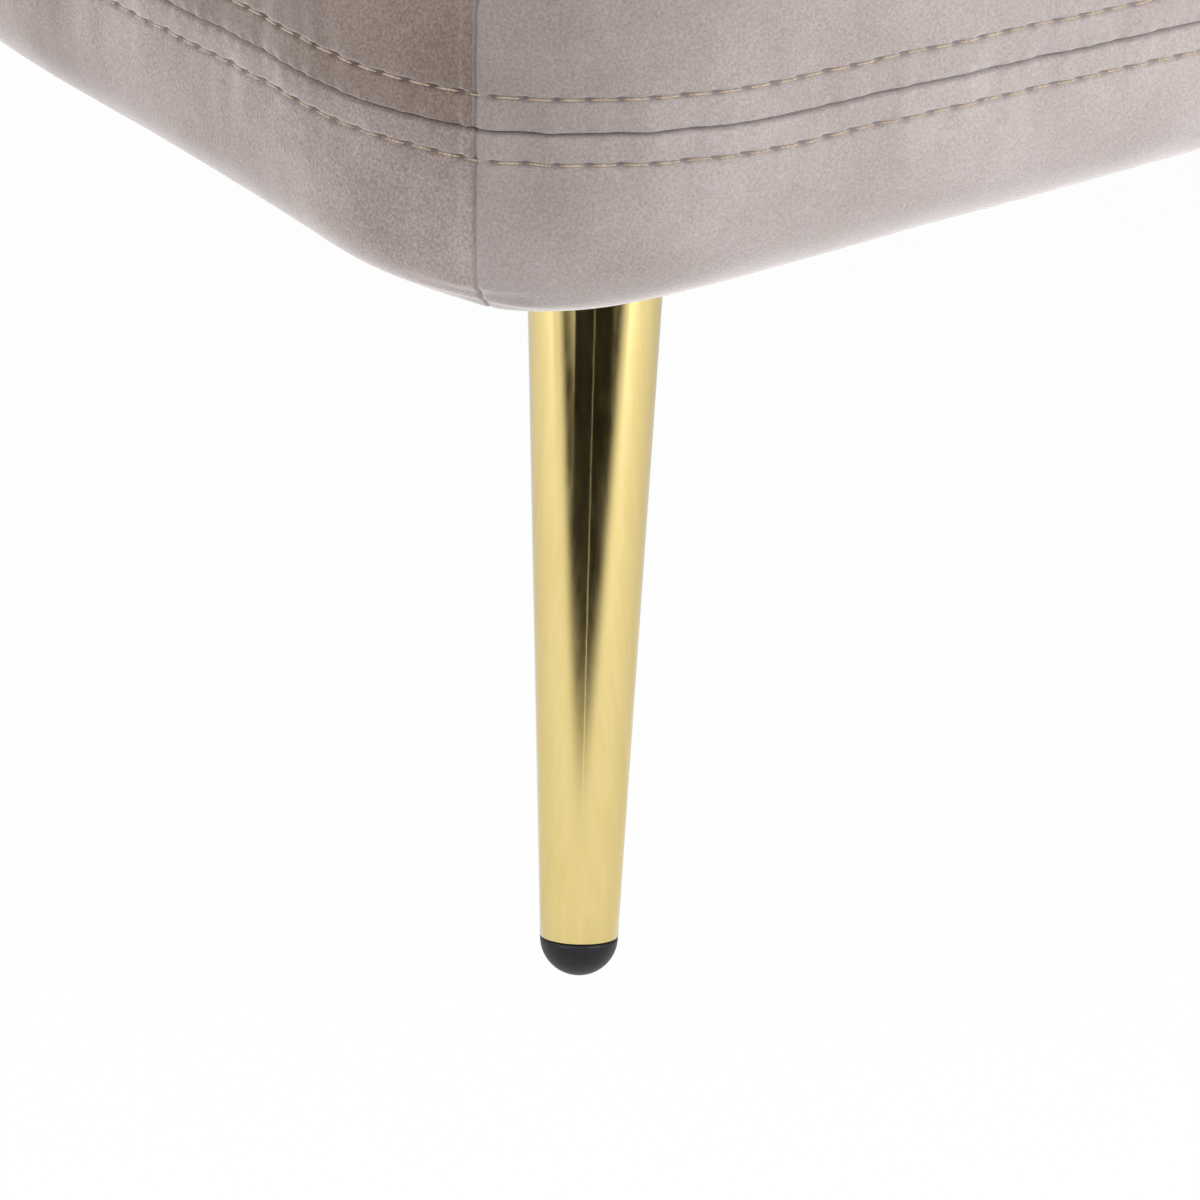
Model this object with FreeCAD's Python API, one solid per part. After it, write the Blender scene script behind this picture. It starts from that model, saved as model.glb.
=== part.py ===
import FreeCAD, Part
import math
import os

# Chaise longue: an upholstered base on four splayed metal legs, a seat cushion on it, and a backrest
# that wraps the head end and sweeps down along the rear. Front is -Y, the foot end -X, up is +Z.

os.makedirs("parts", exist_ok=True)
vec = FreeCAD.Vector
up = vec(0, 0, 1)
parts = {}

# Driving sizes in millimetres
body_length = 1580.0
body_depth = 700.0
overall_height = 780.0
seat_height = 432.0
corner_radius = 80.0
underside = 174.0
seam_height = 214.0
base_top = 302.0
cover = 2.0
fit = 0.2
pad_gap = 0.5
half_length = body_length / 2
half_depth = body_depth / 2

# Wooden frame inside the base
rail_inset = 34.0
rail_thickness = 25.0
rail_top = 290.0
frame_underside = underside + cover
rail_inner = rail_inset + rail_thickness

# Seat webbing
strap_width = 55.0
strap_thickness = 1.6
weave_rise = (strap_thickness + fit) / 2
cross_count = 12
long_count = 4
cross_pitch = (body_length - 2 * rail_inner) / cross_count
long_pitch = (body_depth - 2 * rail_inner) / long_count
deck_low = rail_top + strap_thickness + weave_rise + fit
deck_top = deck_low + 1.0

# Backrest
back_inset = 8.0
back_thickness = 125.0
back_lean = 0.085
back_end_gap = 35.0
back_low_top = seat_height + 40.0
back_bottom = base_top + fit
post_depth = 30.0
post_width = 45.0
board = 4.0
board_drop = 75.0

# Legs
leg_inset_x = 75.0
leg_inset_y = 72.0
splay_x = 0.161
splay_y = 0.192
leg_top_radius = 16.0
leg_foot_radius = 9.0
leg_wall = 1.2
glide_flat = 0.5
dust_cover_thickness = 1.0
plate_top = underside - dust_cover_thickness
plate_bottom = plate_top - 2.5


def line(start, end):
    return Part.makeLine(start, end)


def arc(start, middle, end):
    return Part.Arc(start, middle, end).toShape()


def box(x_low, x_high, y_low, y_high, z_low, z_high):
    return Part.makeBox(x_high - x_low, y_high - y_low, z_high - z_low, vec(x_low, y_low, z_low))


def rod(radius, length, start, direction=up):
    """Twelve-sided rod, round enough for hidden fixings and for the holes they sit in."""
    beside = vec(1, 0, 0) if abs(direction.z) > 0.5 else up
    across = direction.cross(beside)
    corners = []
    for step in range(13):
        angle = math.pi * step / 6
        corners.append(start + beside * (radius * math.cos(angle)) + across * (radius * math.sin(angle)))
    return Part.Face(Part.makePolygon(corners)).extrude(direction * length)


def four_corners(shape):
    """The front foot-end shape and its mirror images, keyed by the corner each stands at."""
    head = shape.mirror(vec(0, 0, 0), vec(1, 0, 0))
    rear = vec(0, 1, 0)
    return {
        "front_foot": shape,
        "front_head": head,
        "rear_foot": shape.mirror(vec(0, 0, 0), rear),
        "rear_head": head.mirror(vec(0, 0, 0), rear),
    }


# The four sides of the base: run along the side, reach across it, and the turn that sets it in place
sides = {
    "front": (body_length, body_depth, 0),
    "head": (body_depth, body_length, 90),
    "rear": (body_length, body_depth, 180),
    "foot": (body_depth, body_length, 270),
}


def ring_side(section, run, reach, turn):
    """One side of a rounded ring: its straight run and half of each corner round."""
    corner_x = run / 2 - corner_radius
    corner_y = corner_radius - reach / 2
    face = Part.Face(section)
    face.translate(vec(-corner_x, -reach / 2, 0))
    far_face = face.copy()
    far_face.translate(vec(2 * corner_x, 0, 0))
    straight = face.extrude(vec(2 * corner_x, 0, 0))
    near_round = face.revolve(vec(-corner_x, corner_y, 0), up, -45)
    far_round = far_face.revolve(vec(corner_x, corner_y, 0), up, 45)
    side = straight.fuse([near_round, far_round]).removeSplitter()
    side.rotate(vec(0, 0, 0), up, turn)
    return side


# Section of the base cover, drawn as inset (y) and height (z): it rolls under the base in a quarter
# round, stands up to the seam, leans in above it and rolls over on to the deck.
roll_radius = 32.0
lower_tuck = 50.0
upper_tuck = 74.0
seam_dip = 1.2
seam_lip = 4.0
lean_radius = 220.0
lean_angle = math.radians(10)
top_radius = (base_top - seam_height - lean_radius * math.sin(lean_angle)) / (1 - math.sin(lean_angle))
top_inset = lean_radius * (1 - math.cos(lean_angle)) + top_radius * math.cos(lean_angle)


def round_point(inset, height, radius, angle):
    """Point on a round of the section, its angle measured up from the outward direction."""
    return vec(0, inset - radius * math.cos(angle), height + radius * math.sin(angle))


def lower_edges(depth, seam_point):
    """Lower cover line at a depth below the outer face, from the tucked edge up to the seam."""
    axis_height = underside + roll_radius
    tuck = vec(0, lower_tuck, underside + depth)
    rolled = [round_point(roll_radius, axis_height, roll_radius - depth, math.radians(a)) for a in (-90, -45, 0)]
    lip = vec(0, depth, seam_height - seam_lip)
    return [line(tuck, rolled[0]), arc(*rolled), line(rolled[2], lip), line(lip, seam_point)]


def upper_edges(depth, seam_point):
    """Upper cover line at a depth below the outer face, from the seam to the tucked edge."""
    lip_angle = math.asin(seam_lip / lean_radius)
    angles = (lip_angle, (lip_angle + lean_angle) / 2, lean_angle)
    leaning = [round_point(lean_radius, seam_height, lean_radius - depth, a) for a in angles]
    top_angles = (lean_angle, (lean_angle + math.pi / 2) / 2, math.pi / 2)
    rolled = [round_point(top_inset, base_top - top_radius, top_radius - depth, a) for a in top_angles]
    tuck = vec(0, upper_tuck, base_top - depth)
    return [line(seam_point, leaning[0]), arc(*leaning), arc(*rolled), line(rolled[2], tuck)]


def shell_section(edges_at):
    """Closed section of a cover: its outer line, its inner line and the two cut edges."""
    outer = edges_at(0, vec(0, seam_dip, seam_height))
    inner = edges_at(cover, vec(0, cover, seam_height))
    ends = [line(outer[0].Vertexes[0].Point, inner[0].Vertexes[0].Point)]
    ends.append(line(outer[-1].Vertexes[-1].Point, inner[-1].Vertexes[-1].Point))
    return Part.Wire(Part.__sortEdges__(outer + inner + ends))


# Screws through the leg plates; their clearance also goes through what lies between plate and block
leg_centre = vec(leg_inset_x - half_length, leg_inset_y - half_depth, plate_bottom)
screw_offset = 20.0
screw_points = [
    leg_centre + vec(dx, dy, 0) for dx in (-screw_offset, screw_offset) for dy in (-screw_offset, screw_offset)
]
screw_shapes = []
screw_holes = []
for point in screw_points:
    head = rod(4.5, 2.5, point - vec(0, 0, 2.5))
    shank = rod(2.2, 28, point)
    screw_shapes.append(head.fuse(shank).removeSplitter())
    screw_holes.append(rod(2.2 + fit, 34, point - vec(0, 0, 4)))
screw_sets = [four_corners(shape) for shape in screw_shapes]
hole_sets = [four_corners(shape) for shape in screw_holes]
all_screw_holes = Part.makeCompound([hole for holes in hole_sets for hole in holes.values()])
parts["leg_screws"] = Part.makeCompound([screw for screws in screw_sets for screw in screws.values()])

# Legs: thin tapered tubes welded to square plates, cut level at the plate
axis = vec(splay_x, splay_y, 1)
foot_height = leg_foot_radius - glide_flat
foot_centre = leg_centre - axis * (plate_bottom - foot_height)
axis_length = (leg_centre - foot_centre).Length
taper = (leg_top_radius - leg_foot_radius) / axis_length
overrun = 20.0
cone_length = axis_length + overrun
cone_end = leg_foot_radius + taper * cone_length
outer_cone = Part.makeCone(leg_foot_radius, cone_end, cone_length, foot_centre, axis)
bore = Part.makeCone(leg_foot_radius - leg_wall, cone_end - leg_wall, cone_length, foot_centre, axis)
above_plate = box(-half_length, 0, -half_depth, 0, plate_bottom, plate_bottom + 4 * overrun)
leg = outer_cone.cut(bore).cut(above_plate)

plate_half = 30.0
plate = box(-plate_half, plate_half, -plate_half, plate_half, 0, plate_top - plate_bottom)
plate = plate.makeFillet(8, [edge for edge in plate.Edges if edge.BoundBox.ZLength > 1])
plate.translate(leg_centre)
plate = plate.cut(Part.makeCompound(screw_holes))

# Glide: a domed foot with a small flat on the floor and a plug inside the tube
plug_radius = leg_foot_radius - leg_wall - fit
glide = Part.makeSphere(leg_foot_radius, foot_centre, axis, -90, 0, 360)
glide = glide.fuse(Part.makeCylinder(plug_radius, 16, foot_centre, axis)).removeSplitter()
glide = glide.cut(box(-half_length, 0, -half_depth, 0, -20, 0))

for name, shape in (("leg", leg), ("leg_plate", plate), ("glide", glide)):
    for corner, placed in four_corners(shape).items():
        parts[f"{name}_{corner}"] = placed

# Rails: boards with a rounded upper outer edge, set between the corner blocks
block_size = 130.0
block_top = rail_top - 5.0
edge_round = 8.0
round_axis = (rail_inset + edge_round, rail_top - edge_round)
rail_round = [round_point(*round_axis, edge_round, math.radians(a)) for a in (90, 45, 0)]
rail_corners = [
    rail_round[2],
    vec(0, rail_inset, frame_underside),
    vec(0, rail_inner, frame_underside),
    vec(0, rail_inner, rail_top),
    rail_round[0],
]
rail_section = Part.Wire([line(a, b) for a, b in zip(rail_corners, rail_corners[1:])] + [arc(*rail_round)])
rails = {}
for side, (run, reach, turn) in sides.items():
    rail_length = run - 2 * (rail_inset + block_size)
    face = Part.Face(rail_section)
    face.translate(vec(-rail_length / 2, -reach / 2, 0))
    rails[side] = face.extrude(vec(rail_length, 0, 0))
    rails[side].rotate(vec(0, 0, 0), up, turn)

# Corner blocks: rounded outside, cut off inside, wide enough to carry the leg plates
block_round = corner_radius - rail_inset
diagonal = block_round * (1 - math.sqrt(0.5))
block_wire = Part.Wire(
    [
        line(vec(block_size, 0, 0), vec(block_round, 0, 0)),
        arc(vec(block_round, 0, 0), vec(diagonal, diagonal, 0), vec(0, block_round, 0)),
        line(vec(0, block_round, 0), vec(0, block_size, 0)),
        line(vec(0, block_size, 0), vec(rail_thickness, block_size, 0)),
        line(vec(rail_thickness, block_size, 0), vec(block_size, rail_thickness, 0)),
        line(vec(block_size, rail_thickness, 0), vec(block_size, 0, 0)),
    ]
)
block = Part.Face(block_wire).extrude(vec(0, 0, block_top - frame_underside))
block.translate(vec(rail_inset - half_length, rail_inset - half_depth, frame_underside))
upper_edges_of_block = [
    edge
    for edge in block.Edges
    if edge.BoundBox.ZMin > block_top - 1
    and min(edge.CenterOfMass.x + half_length, edge.CenterOfMass.y + half_depth) < rail_inset + diagonal + 8
    and edge.Length > rail_thickness + 1
]
block = block.makeFillet(edge_round, upper_edges_of_block)

# Dowels across the joints of rails and blocks
dowel_radius = 4.0
dowel_length = 40.0
joint_x = rail_inset + block_size - half_length
joint_y = rail_inset + block_size - half_depth
rail_middle = rail_inset + rail_thickness / 2
dowels = []
dowel_holes = []
for height in (frame_underside + 30, rail_top - 34):
    for point, direction in (
        (vec(joint_x, rail_middle - half_depth, height), vec(1, 0, 0)),
        (vec(rail_middle - half_length, joint_y, height), vec(0, 1, 0)),
    ):
        dowels.append(rod(dowel_radius, dowel_length, point - direction * dowel_length / 2, direction))
        start = point - direction * (dowel_length / 2 + 2)
        dowel_holes.append(rod(dowel_radius + fit, dowel_length + 4, start, direction))
dowel_sets = [four_corners(shape) for shape in dowels]
hole_corners = [four_corners(shape) for shape in dowel_holes]
all_dowel_holes = Part.makeCompound([hole for holes in hole_corners for hole in holes.values()])
parts["frame_dowels"] = Part.makeCompound([dowel for placed in dowel_sets for dowel in placed.values()])
block = block.cut(Part.makeCompound(dowel_holes + screw_holes))
for corner, placed in four_corners(block).items():
    parts[f"corner_block_{corner}"] = placed

# Cross rails, housed in the front and rear rails under every third strap
cross_rail_height = 70.0
housing = 10.0
strap_x = [rail_inner - half_length + cross_pitch * (i + 0.5) for i in range(cross_count)]
strap_y = [rail_inner - half_depth + long_pitch * (j + 0.5) for j in range(long_count)]
cross_reach = half_depth - rail_inner + housing
housings = []
for name, x in zip(("foot", "middle", "head"), strap_x[3::3]):
    half = rail_thickness / 2
    top = frame_underside + cross_rail_height
    parts[f"cross_rail_{name}"] = box(
        x - half, x + half, fit - cross_reach, cross_reach - fit, frame_underside, top
    )
    housings.append(box(x - half - fit, x + half + fit, -cross_reach, cross_reach, frame_underside, top + fit))

# Back posts stand inside the head and rear rails, midway between straps, two bolts each
head_post_y = [rail_inner - half_depth + long_pitch * j for j in range(1, long_count)]
rear_post_x = [rail_inner - half_length + cross_pitch * i for i in range(2, cross_count, 4)]
post_low = frame_underside + 16


def smooth(value):
    """Ease from 0 to 1 without a corner at either end."""
    value = min(max(value, 0), 1)
    return value * value * (3 - 2 * value)


# Top line of the backrest: rounded at its front end, level round the corner, then an S-curve down
back_inner = back_inset + back_thickness
back_front_y = back_end_gap - half_depth
back_foot_x = back_end_gap - half_length
front_run = 150.0
front_drop = 120.0


def head_top(y):
    shortfall = 1 - min((y - back_front_y) / front_run, 1)
    return overall_height - front_drop * (1 - math.sqrt(1 - min(shortfall, 0.995) ** 2))


def rear_top(x):
    rear_run = half_length - back_inner - back_foot_x
    travelled = (half_length - back_inner - x) / rear_run
    return overall_height - (overall_height - back_low_top) * smooth((travelled - 0.02) / 0.9)


posts = []
bolts = []
washers = []
tee_nuts = []
bolt_holes = []
nut_holes = []
post_slots = []
bolt_radius = 4.0
nut_radius = 5.2
flange = 1.5


def add_post(turn, along, reach, top):
    """A post, its two bolts, washers and tee nuts, drawn for the front side and turned into place."""
    outer = rail_inner - reach / 2
    inner = outer + post_depth
    half = post_width / 2
    inward = vec(0, 1, 0)
    post = box(along - half, along + half, outer, inner, post_low, top)
    post = post.makeFillet(3, [edge for edge in post.Edges if edge.BoundBox.ZLength > 100])
    slot = box(along - half - 1, along + half + 1, outer - 1, inner + 1, deck_low - 1, base_top + 1)
    made = [(posts, post), (post_slots, slot)]
    for height in (frame_underside + 40, rail_top - 26):
        face_point = vec(along, inner, height)
        nut_point = vec(along, rail_inset - reach / 2, height)
        length = rail_thickness + post_depth - 3
        washer = rod(9, 1.6, face_point, inward)
        washers_hole = rod(bolt_radius + fit, 1.6, face_point, inward)
        head = rod(7, 4.5, face_point + inward * 1.6, inward)
        shank = rod(bolt_radius, length + 1.6, face_point + inward * 1.6, -inward)
        barrel = rod(nut_radius, 11, nut_point, inward)
        nut = barrel.fuse(rod(11, flange, nut_point, inward)).removeSplitter()
        nut = nut.cut(rod(bolt_radius + fit, 12, nut_point, inward))
        nut_hole = rod(nut_radius + fit, 12, nut_point, inward)
        nut_hole = nut_hole.fuse(rod(11 + fit, flange + fit, nut_point, inward))
        bolt_hole = rod(bolt_radius + fit, length + 3, face_point, -inward)
        made.append((washers, washer.cut(washers_hole)))
        made.append((bolts, head.fuse(shank).removeSplitter()))
        made.append((tee_nuts, nut))
        made.append((nut_holes, nut_hole))
        made.append((bolt_holes, bolt_hole))
    for group, shape in made:
        shape.rotate(vec(0, 0, 0), up, turn)
        group.append(shape)


for y in head_post_y:
    add_post(90, y, body_length, head_top(y) - board_drop - 12)
for x in rear_post_x:
    add_post(180, -x, body_depth, rear_top(x) - board_drop - 12)
all_bolt_holes = Part.makeCompound(bolt_holes)
all_slots = Part.makeCompound(post_slots)
parts["back_posts"] = Part.makeCompound([post.cut(all_bolt_holes) for post in posts])
parts["post_bolts"] = Part.makeCompound(bolts)
parts["post_washers"] = Part.makeCompound(washers)
parts["post_tee_nuts"] = Part.makeCompound(tee_nuts)

rail_cuts = Part.makeCompound(nut_holes + bolt_holes + housings + list(all_dowel_holes.Solids))
for side, rail in rails.items():
    parts[f"{side}_rail"] = rail.cut(rail_cuts)

# Webbing: each strap rises over and dips under the straps it crosses, so the two sets are woven
strap_end = rail_inset + edge_round + 2


def woven_strap(half_span, crossings, first_over):
    """Strap along X, as thick as the webbing, passing alternately over and under at the crossings."""
    plateau = strap_width / 2 + 6
    points = [(-half_span, 0), (rail_thickness - half_span, 0)]
    for index, crossing in enumerate(crossings):
        over = (index % 2 == 0) == first_over
        level = weave_rise if over else -weave_rise
        points.append((crossing - plateau, level))
        points.append((crossing + plateau, level))
    points.append((half_span - rail_thickness, 0))
    points.append((half_span, 0))
    lower = [vec(x, -strap_width / 2, rail_top + z) for x, z in points]
    upper = [point + vec(0, 0, strap_thickness) for point in reversed(lower)]
    face = Part.Face(Part.makePolygon(lower + upper + lower[:1]))
    return face.extrude(vec(0, strap_width, 0))


cross_straps = []
for index, x in enumerate(strap_x):
    strap = woven_strap(half_depth - strap_end, strap_y, index % 2 == 0)
    strap.rotate(vec(0, 0, 0), up, 90)
    strap.translate(vec(x, 0, 0))
    cross_straps.append(strap)
long_straps = []
for index, y in enumerate(strap_y):
    strap = woven_strap(half_length - strap_end, strap_x, index % 2 == 1)
    strap.translate(vec(0, y, 0))
    long_straps.append(strap)
parts["webbing_cross"] = Part.makeCompound(cross_straps)
parts["webbing_long"] = Part.makeCompound(long_straps)


def rounded_outline(x_low, x_high, y_low, y_high, radius, z, draw_in=0):
    """Rounded rectangle wire; draw_in pulls the middle of each side towards the centre."""
    cut = radius * (1 - math.sqrt(0.5))
    x_mid = (x_low + x_high) / 2
    y_mid = (y_low + y_high) / 2

    def side_edge(start, middle, end):
        return arc(start, middle, end) if draw_in else line(start, end)

    return Part.Wire(
        [
            side_edge(vec(x_low + radius, y_low, z), vec(x_mid, y_low + draw_in, z), vec(x_high - radius, y_low, z)),
            arc(vec(x_high - radius, y_low, z), vec(x_high - cut, y_low + cut, z), vec(x_high, y_low + radius, z)),
            side_edge(vec(x_high, y_low + radius, z), vec(x_high - draw_in, y_mid, z), vec(x_high, y_high - radius, z)),
            arc(vec(x_high, y_high - radius, z), vec(x_high - cut, y_high - cut, z), vec(x_high - radius, y_high, z)),
            side_edge(vec(x_high - radius, y_high, z), vec(x_mid, y_high - draw_in, z), vec(x_low + radius, y_high, z)),
            arc(vec(x_low + radius, y_high, z), vec(x_low + cut, y_high - cut, z), vec(x_low, y_high - radius, z)),
            side_edge(vec(x_low, y_high - radius, z), vec(x_low + draw_in, y_mid, z), vec(x_low, y_low + radius, z)),
            arc(vec(x_low, y_low + radius, z), vec(x_low + cut, y_low + cut, z), vec(x_low + radius, y_low, z)),
        ]
    )


def inset_sheet(inset, z, thickness):
    """Flat rounded sheet that follows the base at an inset."""
    x = half_length - inset
    y = half_depth - inset
    wire = rounded_outline(-x, x, -y, y, corner_radius - inset, z)
    return Part.Face(wire).extrude(vec(0, 0, thickness))


parts["deck_cloth"] = inset_sheet(rail_inset + 6, deck_low, deck_top - deck_low).cut(all_slots)
parts["dust_cover"] = inset_sheet(rail_inset + 4, plate_top, dust_cover_thickness).cut(all_screw_holes)

# Padding ring between the frame and the base covers, with a lip over the edge of the deck
padding_depth = cover + pad_gap
padding_seam = vec(0, padding_depth, seam_height)
outer_line = lower_edges(padding_depth, padding_seam)[1:] + upper_edges(padding_depth, padding_seam)
padding_inner = rail_inset - fit
lip_low = deck_top + fit
padding_corners = [
    outer_line[-1].Vertexes[-1].Point,
    vec(0, upper_tuck, lip_low),
    vec(0, padding_inner, lip_low),
    vec(0, padding_inner, underside + padding_depth),
    outer_line[0].Vertexes[0].Point,
]
inner_line = [line(a, b) for a, b in zip(padding_corners, padding_corners[1:])]
padding_section = Part.Wire(Part.__sortEdges__(outer_line + inner_line))
padding_sides = [ring_side(padding_section, *side) for side in sides.values()]
padding = padding_sides[0].fuse(padding_sides[1:]).removeSplitter()
parts["base_padding"] = padding.cut(all_slots)

# Base covers, one lower band and one upper panel per side, meeting at the corner seams
for side, placing in sides.items():
    parts[f"base_lower_{side}"] = ring_side(shell_section(lower_edges), *placing).cut(all_screw_holes)
    parts[f"base_upper_{side}"] = ring_side(shell_section(upper_edges), *placing).cut(all_slots)

# Seat cushion: full at the corners, drawn in along the sides, crowned on top
seat_gap = 9.0
seat_low = base_top + fit
seat_seam = seat_height - 24.0
seat_x = (2 - half_length, half_length - back_inner - seat_gap)
seat_y = (2 - half_depth, half_depth - back_inner - seat_gap)
seat_corner = 74.0
seat_draw_in = 6.0
seat_profile = [
    (16, seat_low),
    (5, seat_low + 9),
    (1, seat_low + 26),
    (0, seat_low + 56),
    (2, seat_seam - 14),
    (6, seat_seam),
    (12, seat_seam + 7),
    (26, seat_seam + 12.5),
    (58, seat_seam + 17.5),
    (110, seat_seam + 21.5),
    (190, seat_height),
]


def sunk(profile, depth):
    """The profile moved a depth inwards along its normals."""
    moved = []
    for index, (inset, z) in enumerate(profile):
        before = profile[max(index - 1, 0)]
        after = profile[min(index + 1, len(profile) - 1)]
        run = after[0] - before[0]
        rise = after[1] - before[1]
        size = math.hypot(run, rise)
        moved.append((inset + depth * rise / size, z - depth * run / size))
    return moved


def seat_outline(inset, z):
    radius = max(seat_corner - inset, 24)
    x_low, x_high = seat_x[0] + inset, seat_x[1] - inset
    y_low, y_high = seat_y[0] + inset, seat_y[1] - inset
    return rounded_outline(x_low, x_high, y_low, y_high, radius, z, seat_draw_in)


def solid_of(faces):
    """Closed solid sewn from faces that share their edges."""
    shell = Part.makeShell(faces)
    shell.sewShape()
    solid = Part.makeSolid(shell)
    if solid.Volume < 0:
        solid.reverse()
    return solid


def cushion_skin(profile, inner_profile, closed_low, closed_high):
    """Cover between two profiles; an open end is a flat cut edge, a closed end is a flat panel."""
    outer_wires = [seat_outline(*point) for point in profile]
    inner_wires = [seat_outline(*point) for point in inner_profile]
    faces = Part.makeLoft(outer_wires, False, True).Faces + Part.makeLoft(inner_wires, False, True).Faces
    for index, closed in ((0, closed_low), (-1, closed_high)):
        pair = [outer_wires[index], inner_wires[index]]
        if closed:
            faces += [Part.Face(wire) for wire in pair]
        else:
            faces.append(Part.makeFace(pair, "Part::FaceMakerBullseye"))
    return solid_of(faces)


# Skin pieces share flat cut edges at the seams, so each inner profile ends level with its outer one
seam_index = 5
lining_index = 1
inner_all = sunk(seat_profile, cover)
level = [(inner_all[i][0], seat_profile[i][1]) for i in range(len(seat_profile))]
crown_inside = [level[seam_index]] + inner_all[seam_index + 1 : -1] + [(seat_profile[-1][0], seat_height - cover)]
side_inside = [level[lining_index]] + inner_all[lining_index + 1 : seam_index] + [level[seam_index]]
lining_inside = [(seat_profile[0][0] + cover, seat_low + cover), level[lining_index]]
parts["seat_top_panel"] = cushion_skin(seat_profile[seam_index:], crown_inside, False, True)
parts["seat_boxing"] = cushion_skin(seat_profile[lining_index : seam_index + 1], side_inside, False, False)
parts["seat_lining"] = cushion_skin(seat_profile[: lining_index + 1], lining_inside, True, False)

foam_profile = sunk(inner_all, pad_gap)
foam_profile[0] = (lining_inside[0][0] + pad_gap, lining_inside[0][1] + pad_gap)
foam_profile[-1] = (seat_profile[-1][0], seat_height - cover - pad_gap)
parts["seat_foam"] = Part.makeLoft([seat_outline(*point) for point in foam_profile], True, True)

# Backrest stations: plan points on the outer and inner face, and the height of the top there
outer_round = corner_radius - back_inset
inner_round = 60.0
outer_axis = (half_length - back_inset - outer_round, half_depth - back_inset - outer_round)
inner_axis = (half_length - back_inner - inner_round, half_depth - back_inner - inner_round)


def head_station(y):
    return (half_length - back_inset, y), (half_length - back_inner, y), head_top(y)


def corner_station(degrees):
    c = math.cos(math.radians(degrees))
    s = math.sin(math.radians(degrees))
    outer = (outer_axis[0] + outer_round * c, outer_axis[1] + outer_round * s)
    inner = (inner_axis[0] + inner_round * c, inner_axis[1] + inner_round * s)
    return outer, inner, overall_height


def rear_station(x):
    return (x, half_depth - back_inset), (x, half_depth - back_inner), rear_top(x)


head_straight = inner_axis[1] - 50 - back_front_y
rear_straight = inner_axis[0] - 50 - back_foot_x
stations = [head_station(back_front_y + step) for step in (0, 10, 35, 80, front_run)]
stations += [head_station(back_front_y + head_straight * part) for part in (0.7, 1)]
stations += [corner_station(degrees) for degrees in range(0, 91, 15)]
stations += [rear_station(back_foot_x + rear_straight * (1 - part / 12)) for part in range(13)]

outer_swell = 3.0
inner_swell = 8.0


def back_points(station, depth):
    """Named section points of the backrest at a station, moved a depth inwards from its outer face."""
    outer, inner, top = station
    width = math.hypot(inner[0] - outer[0], inner[1] - outer[1])
    across = vec((inner[0] - outer[0]) / width, (inner[1] - outer[1]) / width, 0)
    start = vec(outer[0], outer[1], 0)
    reach = width - back_lean * (top - back_bottom)
    radius = 0.46 * reach
    shoulder = top - radius
    reach = width - back_lean * (shoulder - back_bottom)
    middle = (back_bottom + shoulder) / 2
    middle_reach = width - back_lean * (middle - back_bottom)
    turn = radius * (1 - math.sqrt(0.5))

    def at(offset, height):
        return start + across * offset + vec(0, 0, height)

    return {
        "outer_low": at(depth, back_bottom),
        "outer_middle": at(depth - outer_swell, middle),
        "outer_high": at(depth, shoulder),
        "outer_turn": at(turn + depth * 0.7, top - turn - depth * 0.7),
        "crest": at(reach / 2, top - depth),
        "inner_turn": at(reach - turn - depth * 0.7, top - turn - depth * 0.7),
        "inner_high": at(reach - depth, shoulder),
        "inner_middle": at(middle_reach + inner_swell - depth, middle),
        "inner_low": at(width - depth, back_bottom),
    }


outer_arcs = (("outer_low", "outer_middle", "outer_high"), ("outer_high", "outer_turn", "crest"))
inner_arcs = (("inner_low", "inner_middle", "inner_high"), ("inner_high", "inner_turn", "crest"))


def rising(points, arcs):
    return [arc(*[points[name] for name in names]) for names in arcs]


def falling(points, arcs):
    return [arc(*[points[name] for name in reversed(names)]) for names in reversed(arcs)]


def back_outline(station, depth):
    p = back_points(station, depth)
    edges = rising(p, outer_arcs) + falling(p, inner_arcs) + [line(p["inner_low"], p["outer_low"])]
    return Part.Wire(edges)


def panel_outline(station, arcs):
    """Closed thin section of one cover panel, from its lower edge to the seam on the crest and back."""
    outside = back_points(station, 0)
    inside = back_points(station, cover)
    low = arcs[0][0]
    crest_edge = line(outside["crest"], inside["crest"])
    low_edge = line(inside[low], outside[low])
    return Part.Wire(rising(outside, arcs) + [crest_edge] + falling(inside, arcs) + [low_edge])


parts["back_outer_panel"] = Part.makeLoft([panel_outline(s, outer_arcs) for s in stations], True, True)
parts["back_inner_panel"] = Part.makeLoft([panel_outline(s, inner_arcs) for s in stations], True, True)
parts["back_facing_front"] = Part.Face(back_outline(stations[0], 0)).extrude(vec(0, -cover, 0))
parts["back_facing_foot"] = Part.Face(back_outline(stations[-1], 0)).extrude(vec(-cover, 0, 0))

# Boards on both sides of the posts; their top edges follow the top line of the backrest
board_margin = 25.0
samples = 14


def board_blank(low, high, top_at, to_point):
    """Upright face under the top line between two places along a side of the backrest."""
    places = [low + (high - low) * k / samples for k in range(samples + 1)]
    tops = [to_point(place, top_at(place) - board_drop) for place in places]
    edge = Part.BSplineCurve()
    edge.interpolate(tops)
    corners = [tops[-1], to_point(high, back_bottom), to_point(low, back_bottom), tops[0]]
    return Part.Face(Part.Wire([edge.toShape()] + [line(a, b) for a, b in zip(corners, corners[1:])]))


head_span = (back_front_y + board_margin, half_depth - rail_inner)
rear_span = (back_foot_x + board_margin, half_length - rail_inner - post_depth - board)
head_blank = board_blank(*head_span, head_top, lambda y, z: vec(0, y, z))
rear_blank = board_blank(*rear_span, rear_top, lambda x, z: vec(x, 0, z))
outer_board = rail_inner - board
inner_board = rail_inner + post_depth


def upright(blank, direction, outer_at, inset, thickness):
    """The blank given a thickness, its outer face at an inset from the outside of the base."""
    face = blank.copy()
    face.translate(direction * (outer_at - inset))
    return face.extrude(direction * -thickness)


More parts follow.
